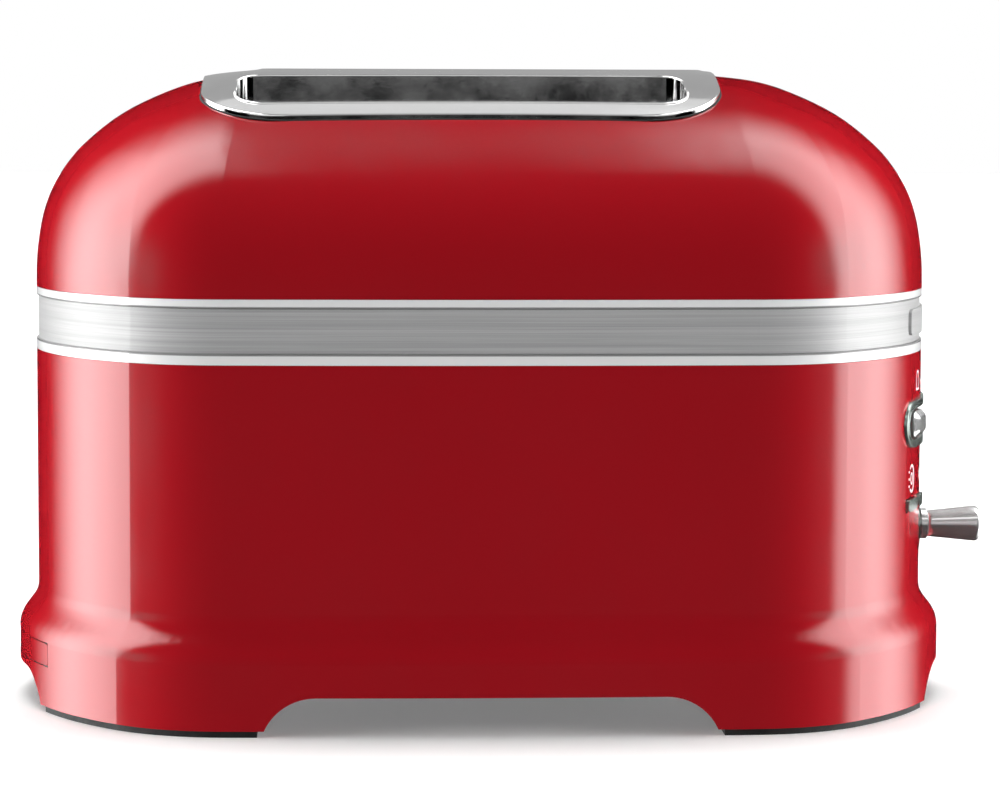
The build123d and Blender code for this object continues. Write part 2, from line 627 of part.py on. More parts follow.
guards = {
    "front_outer_guard": bread_guard(-SLOT_Y - GUARD_OPEN),
    "front_inner_guard": bread_guard(-SLOT_Y + GUARD_OPEN),
    "back_inner_guard": bread_guard(SLOT_Y - GUARD_OPEN),
    "back_outer_guard": bread_guard(SLOT_Y + GUARD_OPEN),
}


def bread_rack(y):
    """Toothed bar that lifts one slice, with its arm out to the carriage."""
    with BuildPart(BODY) as rack:
        with Locations(((OVEN_LOW + 4 + CARRIAGE_X) / 2, y, BREAD_Z - 5)):
            Box(CARRIAGE_X - OVEN_LOW - 4, RACK_BAR_T, RACK_BAR_H)
        with Locations((FRAME_MID_X, y, BREAD_Z - 1)):
            with GridLocations(GUARD_PITCH, 1, RACK_TEETH_N, 1):
                Box(RACK_BAR_T, RACK_TEETH_W, 2)
    return rack


front_bread_rack = bread_rack(-SLOT_Y)
back_bread_rack = bread_rack(SLOT_Y)

# Carriage on two guide rods, driven through its rack.
bush_spots = [(ROD_X, side * ROD_Y, BREAD_Z + BUSH_ABOVE) for side in (-1, 1)]

with BuildPart(BODY) as lift_carriage:
    with Locations((CARRIAGE_X + RACK_BAR_T / 2, 0, BREAD_Z + 2)):
        Box(RACK_BAR_T, 2 * SLOT_Y + 8, 22)
    with Locations(((CARRIAGE_X + RACK_BACK_X) / 2, 0, BREAD_Z + BUSH_ABOVE)):
        Box(RACK_BACK_X - CARRIAGE_X, 52, 2)
    with Locations(*bush_spots):
        Cylinder(BUSH_R, 4, mode=Mode.SUBTRACT)

with BuildPart(BODY) as carriage_bushes:
    with Locations(*bush_spots):
        Cylinder(BUSH_R, BUSH_L)
        Cylinder(ROD_R + RUNNING_GAP, 2 * BUSH_L, mode=Mode.SUBTRACT)

with BuildPart(level(ROD_LOW)) as guide_rods:
    with Locations((ROD_X, -ROD_Y), (ROD_X, ROD_Y)):
        Cylinder(ROD_R, ROD_HIGH - ROD_LOW, align=(Align.CENTER, Align.CENTER, Align.MIN))

with BuildPart() as rod_bridge:
    bridge_x, bridge_high = FRONT_PLATE_X + SHEET, ROD_HIGH + BRIDGE_SHEET
    add(sheet((bridge_x, -BRIDGE_HALF, ROD_HIGH - 10), (bridge_x + BRIDGE_SHEET, BRIDGE_HALF, bridge_high)))
    add(sheet((bridge_x, -BRIDGE_HALF, ROD_HIGH), (ROD_X + 6, BRIDGE_HALF, bridge_high)))

pitch = pi * MODULE
with BuildPart() as lift_rack:
    with BuildSketch(along(-RACK_W / 2)):
        low_z = PINION_Z - RACK_BELOW * pitch
        root_x, tip_x = RACK_PITCH_X - 1.25 * MODULE, RACK_PITCH_X + MODULE
        root_half = pitch / 4 - TOOTH_THIN + 1.25 * MODULE * tan(PRESSURE)
        tip_half = pitch / 4 - TOOTH_THIN - MODULE * tan(PRESSURE)
        with Locations(((RACK_BACK_X + root_x) / 2, low_z + RACK_TEETH * pitch / 2)):
            Rectangle(root_x - RACK_BACK_X, RACK_TEETH * pitch)
        for number in range(RACK_TEETH):
            tooth_z = low_z + (number + 0.5) * pitch
            with BuildLine():
                Polyline(
                    (root_x - 0.1, tooth_z - root_half),
                    (tip_x, tooth_z - tip_half),
                    (tip_x, tooth_z + tip_half),
                    (root_x - 0.1, tooth_z + root_half),
                    close=True,
                )
            make_face()
    extrude(amount=-RACK_W)

PINION_X = RACK_PITCH_X + PITCH_R + MESH_GAP
base_r = PITCH_R * cos(PRESSURE)


def flank(radius, side):
    """Point of an involute flank at a radius, for a tooth centred on the sketch's x axis."""
    angle = acos(min(1, base_r / radius))
    half = pi / (2 * PINION_TEETH) - TOOTH_THIN / PITCH_R
    half += tan(PRESSURE) - PRESSURE - tan(angle) + angle
    return radius * cos(half), side * radius * sin(half)


tooth_root = PITCH_R - 1.3 * MODULE
with BuildSketch(mode=Mode.PRIVATE) as pinion_tooth:
    with BuildLine():
        radii = [base_r + (PITCH_R + MODULE - base_r) * step / 4 for step in range(5)]
        Spline(*[flank(radius, 1) for radius in radii])
        Line(flank(radii[-1], 1), flank(radii[-1], -1))
        Spline(*[flank(radius, -1) for radius in radii])
        Polyline(
            flank(base_r, 1),
            (tooth_root, flank(base_r, 1)[1]),
            (tooth_root, flank(base_r, -1)[1]),
            flank(base_r, -1),
        )
    make_face()

with BuildPart() as drive_pinion:
    with BuildSketch(Plane((BODY_X + PINION_X, -PINION_W / 2, PINION_Z), x_dir=(1, 0, 0), z_dir=(0, -1, 0))):
        Circle(PITCH_R - 1.25 * MODULE)
        with PolarLocations(0, PINION_TEETH):
            add(pinion_tooth.sketch)
        Circle(SHAFT_R, mode=Mode.SUBTRACT)
    extrude(amount=-PINION_W)

with BuildPart(BODY) as drive_shaft:
    with Locations((PINION_X, (SHAFT_LOW_Y + SHAFT_HIGH_Y) / 2, PINION_Z)):
        Cylinder(SHAFT_R, SHAFT_HIGH_Y - SHAFT_LOW_Y, rotation=(90, 0, 0))

with BuildPart() as gearbox:
    low_corner = (GEARBOX_X0, GEARBOX_Y0, PINION_Z - GEARBOX_HALF_H)
    add(sheet(low_corner, (GEARBOX_X1, GEARBOX_Y1, PINION_Z + GEARBOX_HALF_H)))
    fillet(gearbox.edges().filter_by(Axis.Y), 2)
    with BuildSketch(Plane((BODY_X + PINION_X, GEARBOX_Y0, PINION_Z), x_dir=(1, 0, 0), z_dir=(0, 1, 0))):
        Circle(SHAFT_R + RUNNING_GAP)
    extrude(amount=SHAFT_HIGH_Y - GEARBOX_Y0 + 0.3, mode=Mode.SUBTRACT)

with BuildPart(BODY) as lift_motor:
    with Locations((PINION_X, GEARBOX_Y1 + MOTOR_L / 2, PINION_Z)):
        Cylinder(MOTOR_R, MOTOR_L, rotation=(90, 0, 0))
    with Locations((PINION_X, GEARBOX_Y1 + MOTOR_L + MOTOR_NOSE_L / 2, PINION_Z)):
        Cylinder(MOTOR_NOSE_R, MOTOR_NOSE_L, rotation=(90, 0, 0))

with BuildPart() as motor_bracket:
    bracket_y0, bracket_y1 = GEARBOX_Y0 + 2, GEARBOX_Y0 + 14
    foot_high = (GEARBOX_X1, bracket_y1, BASE_HIGH + BRACKET_SHEET)
    add(sheet((GEARBOX_X0, bracket_y0, BASE_HIGH), foot_high))
    for leg_x in (GEARBOX_X0 + 4, GEARBOX_X1 - 6):
        leg_high = (leg_x + BRACKET_LEG, bracket_y1, PINION_Z - GEARBOX_HALF_H)
        add(sheet((leg_x, bracket_y0, BASE_HIGH), leg_high))

with BuildPart() as control_board:
    add(sheet((BOARD_X, -BOARD_HALF, BOARD_LOW), (BOARD_X + BOARD_T, BOARD_HALF, BOARD_HIGH)))

with BuildPart() as board_parts:
    for depth, low_y, low_z, high_y, high_z in BOARD_BLOCKS:
        add(sheet((BOARD_X - depth, low_y, low_z), (BOARD_X, high_y, high_z)))

with BuildPart() as terminal_block:
    low_corner = (TERMINAL_X[0], TERMINAL_Y[0], BASE_HIGH)
    add(sheet(low_corner, (TERMINAL_X[1], TERMINAL_Y[1], TERMINAL_HIGH)))

PIECES = {
    "upper_shell": upper_shell,
    "lower_shell": lower_shell,
    "trim_band": trim_band,
    "end_badge": end_badge,
    "slot_frame": slot_frame,
    "throat_liners": throat_liners,
    "base_plate": base_plate,
    "rubber_feet": rubber_feet,
    "base_screws": base_screws,
    "cord_gland": cord_gland,
    "crumb_tray": crumb_tray,
    "tray_front": tray_front,
    "shade_bezel": shade_bezel,
    "shade_track": shade_track,
    "shade_slider": shade_slider,
    **buttons,
    "lever_knob": lever_knob,
    "lever_arm": lever_arm,
    "lever_escutcheon": lever_escutcheon,
    "lever_pin": lever_pin,
    "lever_bracket": lever_bracket,
    "front_end_plate": front_end_plate,
    "rear_end_plate": rear_end_plate,
    "front_reflector": front_reflector,
    "back_reflector": back_reflector,
    **heaters,
    "heater_ribbons": heater_ribbons,
    **guards,
    "front_bread_rack": front_bread_rack,
    "back_bread_rack": back_bread_rack,
    "lift_carriage": lift_carriage,
    "carriage_bushes": carriage_bushes,
    "guide_rods": guide_rods,
    "rod_bridge": rod_bridge,
    "lift_rack": lift_rack,
    "drive_pinion": drive_pinion,
    "drive_shaft": drive_shaft,
    "gearbox": gearbox,
    "lift_motor": lift_motor,
    "motor_bracket": motor_bracket,
    "control_board": control_board,
    "board_parts": board_parts,
    "terminal_block": terminal_block,
}
for name, piece in PIECES.items():
    piece.part.label = name
    export_step(piece.part, f"parts/{name}.step")
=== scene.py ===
"""Looks of a two slot pop up toaster: enamelled shells, brushed band, chrome trim, a pale studio."""

from math import cos, pi, radians, sin

import bpy
from mathutils import Matrix, Vector
from mathutils.bvhtree import BVHTree


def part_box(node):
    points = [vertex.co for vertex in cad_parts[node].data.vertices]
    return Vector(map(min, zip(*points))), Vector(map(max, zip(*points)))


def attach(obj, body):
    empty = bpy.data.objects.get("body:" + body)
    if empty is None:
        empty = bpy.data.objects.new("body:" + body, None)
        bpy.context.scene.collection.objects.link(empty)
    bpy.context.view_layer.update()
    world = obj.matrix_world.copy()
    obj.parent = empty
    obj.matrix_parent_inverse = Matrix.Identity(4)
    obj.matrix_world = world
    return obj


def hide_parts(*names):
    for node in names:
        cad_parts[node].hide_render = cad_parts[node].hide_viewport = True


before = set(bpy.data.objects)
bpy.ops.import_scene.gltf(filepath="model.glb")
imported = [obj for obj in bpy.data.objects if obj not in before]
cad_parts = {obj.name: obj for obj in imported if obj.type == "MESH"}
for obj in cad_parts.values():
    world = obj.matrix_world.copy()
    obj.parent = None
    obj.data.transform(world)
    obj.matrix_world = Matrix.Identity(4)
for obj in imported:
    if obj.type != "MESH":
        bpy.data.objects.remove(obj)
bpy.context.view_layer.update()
scene = bpy.context.scene
MM = 0.001


# ---------------------------------------------------------------- node tree helpers
class Tree:
    """Short calls for building a node tree."""

    def __init__(self, tree):
        self.tree = tree
        tree.nodes.clear()

    def add(self, kind, inputs=None, **settings):
        node = self.tree.nodes.new(kind)
        for key, value in settings.items():
            setattr(node, key, value)
        for key, value in (inputs or {}).items():
            self.put(node.inputs[key], value)
        return node

    def put(self, socket, value):
        if isinstance(value, bpy.types.NodeSocket):
            self.tree.links.new(value, socket)
        elif isinstance(value, bpy.types.Node):
            self.tree.links.new(value.outputs[0], socket)
        else:
            socket.default_value = value

    def math(self, operation, a, b=0.0, c=0.0):
        return self.add("ShaderNodeMath", {0: a, 1: b, 2: c}, operation=operation).outputs[0]

    def step(self, value, low, high, to_low=0.0, to_high=1.0):
        """A smooth ramp of value from low to high."""
        return self.add(
            "ShaderNodeMapRange",
            {"Value": value, "From Min": low, "From Max": high, "To Min": to_low, "To Max": to_high},
            interpolation_type="SMOOTHSTEP",
        ).outputs[0]

    def mix(self, factor, a, b):
        node = self.add("ShaderNodeMix", data_type="RGBA")
        self.put(node.inputs["Factor"], factor)
        self.put(node.inputs[6], a)
        self.put(node.inputs[7], b)
        return node.outputs[2]

    def noise(self, vector, scale, detail=3.0, roughness=0.5):
        return self.add(
            "ShaderNodeTexNoise",
            {"Vector": vector, "Scale": scale, "Detail": detail, "Roughness": roughness},
        ).outputs[0]

    def place(self):
        return self.add("ShaderNodeTexCoord").outputs["Object"]

    def split(self, vector):
        return self.add("ShaderNodeSeparateXYZ", {0: vector}).outputs

    def scaled(self, vector, scale):
        return self.add("ShaderNodeMapping", {"Vector": vector, "Scale": scale}).outputs[0]

    def bump(self, height, strength, distance):
        return self.add(
            "ShaderNodeBump", {"Height": height, "Strength": strength, "Distance": distance}
        ).outputs[0]


def grey(value):
    return (value, value, value, 1.0)


def principled(name, **sockets):
    """A material with one Principled shader; sockets given as numbers are set on it directly."""
    material = bpy.data.materials.new(name)
    material.use_nodes = True
    tree = Tree(material.node_tree)
    shader = tree.add("ShaderNodeBsdfPrincipled")
    out = tree.add("ShaderNodeOutputMaterial")
    tree.put(out.inputs["Surface"], shader.outputs[0])
    for key, value in sockets.items():
        shader.inputs[key.replace("_", " ")].default_value = value
    return material, tree, shader


def vary(tree, shader, colour, roughness, normal):
    """Links the three sockets that change over the surface."""
    tree.put(shader.inputs["Base Color"], colour)
    tree.put(shader.inputs["Roughness"], roughness)
    tree.put(shader.inputs["Normal"], normal)


# ---------------------------------------------------------------- materials
def enamel():
    """Glossy red enamel: faint orange peel, slight colour drift and polishing haze."""
    material, tree, shader = principled("red_enamel_gloss", IOR=1.5)
    at = tree.place()
    drift = tree.noise(at, scale=9.0, detail=2.0)
    haze = tree.noise(at, scale=55.0, detail=4.0, roughness=0.6)
    peel = tree.noise(at, scale=420.0, detail=2.0)
    vary(
        tree,
        shader,
        colour=tree.mix(drift, (0.345, 0.0060, 0.0110, 1), (0.375, 0.0072, 0.0135, 1)),
        roughness=tree.step(haze, 0.3, 0.75, 0.125, 0.165),
        normal=tree.bump(peel, strength=0.03, distance=0.08 * MM),
    )
    return material


def brushed_band(lip_low, lip_high):
    """Brushed steel between two polished lips; the brushing runs round the body."""
    material, tree, shader = principled(
        "band_brushed_steel", Anisotropic=0.55, Specular_IOR_Level=0.3
    )
    at = tree.place()
    z = tree.split(at)[2]
    blend = 0.3 * MM
    centre = tree.math(
        "MULTIPLY",
        tree.step(z, lip_low - blend, lip_low + blend),
        tree.step(z, lip_high + blend, lip_high - blend),
    )
    fine = tree.noise(tree.scaled(at, (14, 14, 5200)), scale=1.0, detail=4.0, roughness=0.7)
    broad = tree.noise(tree.scaled(at, (5, 5, 900)), scale=1.0, detail=2.0)
    streak = tree.math("MULTIPLY_ADD", broad, 0.45, tree.math("MULTIPLY", fine, 0.55))
    brushed_grey = tree.mix(tree.step(streak, 0.32, 0.68), grey(0.32), grey(0.45))
    brushed_rough = tree.step(streak, 0.3, 0.7, 0.30, 0.42)
    lip_grey, crease_shade_grey, lip_rough = grey(0.74), grey(0.22), 0.16
    from_lips = [tree.math("ABSOLUTE", tree.math("SUBTRACT", z, lip)) for lip in (lip_low, lip_high)]
    # Painted shade: a thin dark line along each lip's edge, where shade falls in the crease.
    painted_crease_shade = tree.step(tree.math("MINIMUM", *from_lips), 0.6 * MM, 0.2 * MM)
    rougher = tree.math("SUBTRACT", brushed_rough, lip_rough)
    vary(
        tree,
        shader,
        colour=tree.mix(painted_crease_shade, tree.mix(centre, lip_grey, brushed_grey), crease_shade_grey),
        roughness=tree.math("MULTIPLY_ADD", centre, rougher, lip_rough),
        normal=tree.bump(tree.math("MULTIPLY", streak, centre), strength=0.25, distance=0.06 * MM),
    )
    tree.put(shader.inputs["Metallic"], tree.math("MULTIPLY_ADD", centre, 0.04, 0.10))
    return material


def chrome(name="chrome_plate", dark=grey(0.75), light=grey(0.85), rough=0.05, metallic=1.0):
    """Bright plate with a little smear and pitting."""
    material, tree, shader = principled(name, Metallic=metallic)
    at = tree.place()
    smear = tree.noise(at, scale=70.0, detail=5.0, roughness=0.65)
    pits = tree.noise(at, scale=900.0, detail=2.0)
    vary(
        tree,
        shader,
        colour=tree.mix(smear, dark, light),
        roughness=tree.step(smear, 0.25, 0.8, rough, rough + 0.07),
        normal=tree.bump(pits, strength=0.03, distance=0.05 * MM),
    )
    return material


def grained(name, dark, light, rough, scale, strength, depth=0.1 * MM, metallic=0.0):
    """A moulded or coated surface: two close colours in broad clouds under a fine grain."""
    material, tree, shader = principled(name, Metallic=metallic)
    at = tree.place()
    cloud = tree.noise(at, scale * 0.12)
    grain = tree.noise(at, scale, detail=4.0, roughness=0.6)
    vary(
        tree,
        shader,
        colour=tree.mix(tree.step(cloud, 0.3, 0.7), dark, light),
        roughness=tree.step(grain, 0.3, 0.7, rough - 0.06, rough + 0.06),
        normal=tree.bump(grain, strength, depth),
    )
    return material


def drawn(name, dark, light, rough, stretch):
    """Rolled or drawn metal: streaks along one axis over a mottled plate."""
    material, tree, shader = principled(name, Metallic=1.0)
    at = tree.place()
    streak = tree.noise(tree.scaled(at, stretch), scale=1.0, detail=4.0, roughness=0.6)
    mottle = tree.noise(at, scale=60.0)
    both = tree.math("MULTIPLY_ADD", mottle, 0.5, tree.math("MULTIPLY", streak, 0.5))
    vary(
        tree,
        shader,
        colour=tree.mix(tree.step(both, 0.3, 0.7), dark, light),
        roughness=tree.step(both, 0.3, 0.7, rough - 0.07, rough + 0.07),
        normal=tree.bump(streak, strength=0.15, distance=0.05 * MM),
    )
    return material


def mica():
    """Layered flakes of pale brown mica."""
    material, tree, shader = principled("mica_sheet")
    flake = tree.add("ShaderNodeTexVoronoi", {"Vector": tree.place(), "Scale": 130.0})
    tint = tree.add("ShaderNodeSeparateColor", {0: flake.outputs["Color"]}).outputs[0]
    vary(
        tree,
        shader,
        colour=tree.mix(tint, (0.35, 0.24, 0.13, 1), (0.60, 0.47, 0.30, 1)),
        roughness=tree.step(tint, 0.0, 1.0, 0.25, 0.45),
        normal=tree.bump(tint, strength=0.15, distance=0.1 * MM),
    )
    return material


def circuit():
    """Green lacquer, lighter along a grid of tracks."""
    material, tree, shader = principled("circuit_lacquer")
    at = tree.place()
    grid = {"Scale": 190.0, "Mortar Size": 0.05}
    shades = {"Color1": grey(0.0), "Color2": grey(0.1), "Mortar": grey(1.0)}
    brick = tree.add("ShaderNodeTexBrick", {"Vector": at, **grid, **shades}).outputs["Color"]
    cloud = tree.noise(at, scale=80.0)
    vary(
        tree,
        shader,
        colour=tree.mix(brick, (0.010, 0.100, 0.030, 1), (0.030, 0.22, 0.060, 1)),
        roughness=tree.step(cloud, 0.3, 0.7, 0.28, 0.40),
        normal=tree.bump(brick, strength=0.2, distance=0.05 * MM),
    )
    return material


def print_ink():
    """Pad printed white ink with a faint speckle."""
    material, tree, shader = principled("white_print")
    speck = tree.noise(tree.place(), scale=900.0, roughness=0.6)
    vary(
        tree,
        shader,
        colour=tree.mix(tree.step(speck, 0.3, 0.7), grey(0.74), grey(0.86)),
        roughness=tree.step(speck, 0.3, 0.7, 0.35, 0.50),
        normal=tree.bump(speck, strength=0.1, distance=0.03 * MM),
    )
    return material


LOW_LIP_TALL, HIGH_LIP_TALL = 3.3 * MM, 2.7 * MM
band_low, band_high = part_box("trim_band")
FINISH = {
    "red_enamel": enamel(),
    "brushed_steel_band": brushed_band(band_low.z + LOW_LIP_TALL, band_high.z - HIGH_LIP_TALL),
    "chrome": chrome(),
    "black_enamel": grained("black_enamel_coat", grey(0.006), grey(0.012), 0.28, 500, 0.10),
    "black_plastic": grained("black_moulding", grey(0.011), grey(0.020), 0.42, 1400, 0.25),
    "foot_rubber": grained("rubber_compound", grey(0.012), grey(0.022), 0.78, 1100, 0.35),
    "plated_steel": drawn(
        "zinc_plate", (0.46, 0.45, 0.43, 1), (0.66, 0.66, 0.65, 1), 0.32, stretch=(9, 9, 700)
    ),
    "tray_aluminium": drawn(
        "aluminium_sheet", grey(0.62), grey(0.80), 0.30, stretch=(6, 700, 700)
    ),
    "mica": mica(),
    "bronze": grained(
        "sintered_bronze", (0.30, 0.19, 0.09, 1), (0.42, 0.27, 0.13, 1), 0.42, 2500, 0.3,
        depth=0.05 * MM, metallic=1.0,
    ),
    "white_nylon": grained(
        "natural_nylon", (0.72, 0.71, 0.66, 1), (0.82, 0.81, 0.77, 1), 0.40, 600, 0.1
    ),
    "circuit_board": circuit(),
}
PRINT = print_ink()
SATIN = chrome("satin_chrome", grey(0.56), grey(0.66), 0.17, 0.80)
# Dark chrome for the bezel, escutcheon and buttons, its base colour tinted green as a painted
# reflection.
GREEN_REFLECTION_CHROME = chrome("dark_chrome_painted_green_reflection", (0.24, 0.29, 0.26, 1), (0.32, 0.38, 0.35, 1), 0.16, 0.75)
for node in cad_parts.values():
    for material_slot in node.material_slots:
        material_slot.material = FINISH[material_slot.material.name.split(".")[0]]
for name in ("lever_knob", "lever_arm", "shade_slider"):
    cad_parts[name].material_slots[0].material = SATIN
for name in (
    "shade_bezel", "lever_escutcheon",
    "bagel_button", "defrost_button", "keep_warm_button", "one_side_button",
):
    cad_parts[name].material_slots[0].material = GREEN_REFLECTION_CHROME

# The shade bezel stays as it is in the CAD, with its sharp edges rounded.
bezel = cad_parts["shade_bezel"]
weld = bezel.modifiers.new("weld", "WELD")
weld.merge_threshold = 0.002 * MM
bevel = bezel.modifiers.new("rounded", "BEVEL")
bevel.width = 0.4 * MM
bevel.segments = 3
bevel.limit_method = "ANGLE"
bevel.angle_limit = radians(35)
bevel.harden_normals = True


# ---------------------------------------------------------------- pieces made here
def new_piece(name, points, faces, material, body):
    """A smooth mesh piece that rides a CAD body and takes the material it is given."""
    mesh = bpy.data.meshes.new(name)
    mesh.from_pydata(points, [], faces)
    for polygon in mesh.polygons:
        polygon.use_smooth = True
    mesh.materials.append(material)
    piece = bpy.data.objects.new(name, mesh)
    scene.collection.objects.link(piece)
    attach(piece, body)
    return piece


def surface_of(name):
    """A function that gives the height of a CAD node's upper surface over a point."""
    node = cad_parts[name]
    points = [node.matrix_world @ vertex.co for vertex in node.data.vertices]
    bvh = BVHTree.FromPolygons(points, [tuple(polygon.vertices) for polygon in node.data.polygons])
    ray_from, down = 1.0, Vector((0, 0, -1))

    def height(x, y):
        return bvh.ray_cast(Vector((x, y, ray_from)), down)[0].z

    return height


LOOP_STEP, CORNER_STEPS = 3 * MM, 12


def rounded_loop(low, high, radius, grow):
    """Closed plan loop round a box with rounded corners, grown by an offset."""
    radius += grow
    x0, y0 = low.x - grow + radius, low.y - grow + radius
    x1, y1 = high.x + grow - radius, high.y + grow - radius
    corners = ((x1, y1, 0), (x0, y1, 90), (x0, y0, 180), (x1, y0, 270))
    loop = []
    for number, (x, y, start) in enumerate(corners):
        for step in range(CORNER_STEPS + 1):
            angle = radians(start + 90 * step / CORNER_STEPS)
            loop.append((x + radius * cos(angle), y + radius * sin(angle)))
        next_x, next_y, next_start = corners[(number + 1) % 4]
        angle = radians(next_start)
        begin = Vector(loop[-1])
        end = Vector((next_x + radius * cos(angle), next_y + radius * sin(angle)))
        count = int((end - begin).length / LOOP_STEP)
        loop += [tuple(begin.lerp(end, step / count)) for step in range(1, count)]
    return loop


BEAD_SIDES = 12
SMOOTH_REACH = 3


def bead(name, loop, height, radius, sink, slot):
    """A round bead along a plan loop, sunk into the surface whose smoothed heights it follows."""
    raw = [height(x, y) for x, y in loop]
    total = len(loop)
    near = range(-SMOOTH_REACH, SMOOTH_REACH + 1)
    smooth = [sum(raw[(i + k) % total] for k in near) / len(near) for i in range(total)]
    centres = [Vector((x, y, z - sink)) for (x, y), z in zip(loop, smooth)]
    points, faces = [], []
    for i, centre in enumerate(centres):
        ahead = (centres[(i + 1) % total] - centres[i - 1]).normalized()
        outward = ahead.cross(Vector((0, 0, 1))).normalized()
        upward = outward.cross(ahead)
        first, after = i * BEAD_SIDES, (i + 1) % total * BEAD_SIDES
        for k in range(BEAD_SIDES):
            angle = 2 * pi * k / BEAD_SIDES
            points.append(centre + (outward * cos(angle) + upward * sin(angle)) * radius)
            n = (k + 1) % BEAD_SIDES
            faces.append((first + k, first + n, after + n, after + k))
    new_piece(name, points, faces, FINISH[slot], "housing")


# Chrome beads round both slots and the frame, and a dark bead of painted shade standing in for the
# shadow gap where the frame meets the dome.
LINER_WALL, SLOT_WIDE, SLOT_CORNER, FRAME_CORNER = 1.2 * MM, 28 * MM, 8 * MM, 24 * MM
frame_low, frame_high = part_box("slot_frame")
liner_low, liner_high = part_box("throat_liners")
frame_top = surface_of("slot_frame")
dome_top = surface_of("upper_shell")
slot_depths = {
    "front": (liner_low.y + LINER_WALL, liner_low.y + LINER_WALL + SLOT_WIDE),
    "back": (liner_high.y - LINER_WALL - SLOT_WIDE, liner_high.y - LINER_WALL),
}
for side, (near_y, far_y) in slot_depths.items():
    slot_low = Vector((liner_low.x + LINER_WALL, near_y))
    slot_high = Vector((liner_high.x - LINER_WALL, far_y))
    slot_loop = rounded_loop(slot_low, slot_high, SLOT_CORNER, 0.55 * MM)
    bead(f"{side}_slot_bead", slot_loop, frame_top, 0.6 * MM, 0.3 * MM, "chrome")
edge_loop = rounded_loop(frame_low, frame_high, FRAME_CORNER, -0.7 * MM)
bead("frame_edge_bead", edge_loop, frame_top, 0.7 * MM, 0.6 * MM, "chrome")
# A black rubber bead painted in as the shadow line where the frame meets the dome.
shadow_gap_loop = rounded_loop(frame_low, frame_high, FRAME_CORNER, 0.25 * MM)
bead("frame_shadow_gap_bead", shadow_gap_loop, dome_top, 0.35 * MM, 0.1 * MM, "foot_rubber")

# The lever's knob, as (reach, radius) in millimetres from its foot to its crowned tip.
KNOB_PROFILE = [
    (0.0, 2.6), (0.0, 3.9), (0.1, 4.2), (0.4, 4.42), (2.0, 4.6),
    (8.0, 5.2), (14.0, 5.81), (16.3, 6.02), (16.9, 6.03), (17.4, 5.88),
    (17.9, 5.45), (18.3, 4.6), (18.6, 3.3), (18.8, 1.8), (18.88, 0.6),
]
KNOB_SIDES = 64


def knob():
    """The profile turned about the knob's own axis and closed at both ends."""
    knob_low, knob_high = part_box("lever_knob")
    middle = (knob_low + knob_high) / 2
    points, faces = [], []
    for reach, radius in KNOB_PROFILE:
        for k in range(KNOB_SIDES):
            angle = 2 * pi * k / KNOB_SIDES
            y = middle.y + radius * MM * sin(angle)
            z = middle.z + radius * MM * cos(angle)
            points.append((knob_low.x + reach * MM, y, z))
    for ring in range(len(KNOB_PROFILE) - 1):
        for k in range(KNOB_SIDES):
            a, b = ring * KNOB_SIDES + k, ring * KNOB_SIDES + (k + 1) % KNOB_SIDES
            faces.append((a, a + KNOB_SIDES, b + KNOB_SIDES, b))
    last = (len(KNOB_PROFILE) - 1) * KNOB_SIDES
    faces.append(tuple(reversed(range(KNOB_SIDES))))
    faces.append(tuple(last + k for k in range(KNOB_SIDES)))
    piece = new_piece("knob_cap", points, faces, SATIN, "lever")
    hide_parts("lever_knob")


knob()

# ---------------------------------------------------------------- printed marks
# Generic white marks by the controls. Positions are millimetres: across the bowed end, and up.
END_RADIUS = 112.5 * MM
END_X = band_high.x - END_RADIUS
INK_THICK = 0.08 * MM


def mark(name, quads):
    """Prints quads, each four (across, height) corners, as a thin raised layer on the bowed end."""
    points, faces = [], []
    for quad in quads:
        first = len(points)
        for reach in (END_RADIUS, END_RADIUS + INK_THICK):
            for across, height in quad:
                turn = across * MM / END_RADIUS
                points.append((END_X + reach * cos(turn), reach * sin(turn), height * MM))
        faces.append((first + 3, first + 2, first + 1, first))
        faces.append((first + 4, first + 5, first + 6, first + 7))
        for k in range(4):
            n = (k + 1) % 4
            faces.append((first + k, first + n, first + 4 + n, first + 4 + k))
    piece = new_piece(name, points, faces, PRINT, "housing")
    for polygon in piece.data.polygons:
        polygon.use_smooth = False


def bar(x0, z0, x1, z1, wide):
    """A straight stroke."""
    half = Vector((x1 - x0, z1 - z0)).normalized() * wide / 2
    dx, dz = -half.y, half.x
    return [(x0 - dx, z0 - dz), (x1 - dx, z1 - dz), (x1 + dx, z1 + dz), (x0 + dx, z0 + dz)]


def spoke(x, z, reach, angle, wide):
    """A straight stroke centred on a point."""
    dx, dz = reach * cos(radians(angle)), reach * sin(radians(angle))
    return bar(x - dx, z - dz, x + dx, z + dz, wide)


def arc(x, z, rx, rz, start, sweep, wide, count=16):
    """A curved stroke along an ellipse, its width measured inwards."""
    quads = []
    for step in range(count):
        a, b = (radians(start + sweep * (step + more) / count) for more in (0, 1))
        quads.append([
            (x + (rx - wide) * cos(a), z + (rz - wide) * sin(a)),
            (x + rx * cos(a), z + rz * sin(a)),
            (x + rx * cos(b), z + rz * sin(b)),
            (x + (rx - wide) * cos(b), z + (rz - wide) * sin(b)),
        ])
    return quads


def wave(x, z):
    """An upright S curve."""
    lower = arc(x - 0.6, z - 1.2, 1.2, 1.3, -80, 160, 0.6, 6)
    upper = arc(x + 0.6, z + 1.2, 1.2, 1.3, 100, 160, 0.6, 6)
    return lower + upper


def slice_outline(x, z, half, tall, wide):
    """A slice of bread in outline."""
    low, high = z - tall / 2, z + tall / 2 - half
    walls = (x - half + wide / 2, x + half - wide / 2)
    sides = [bar(wall, low, wall, high, wide) for wall in walls]
    foot = bar(x - half, low, x + half, low, wide)
    return [*sides, foot, *arc(x, high, half, half, 0, 180, wide)]


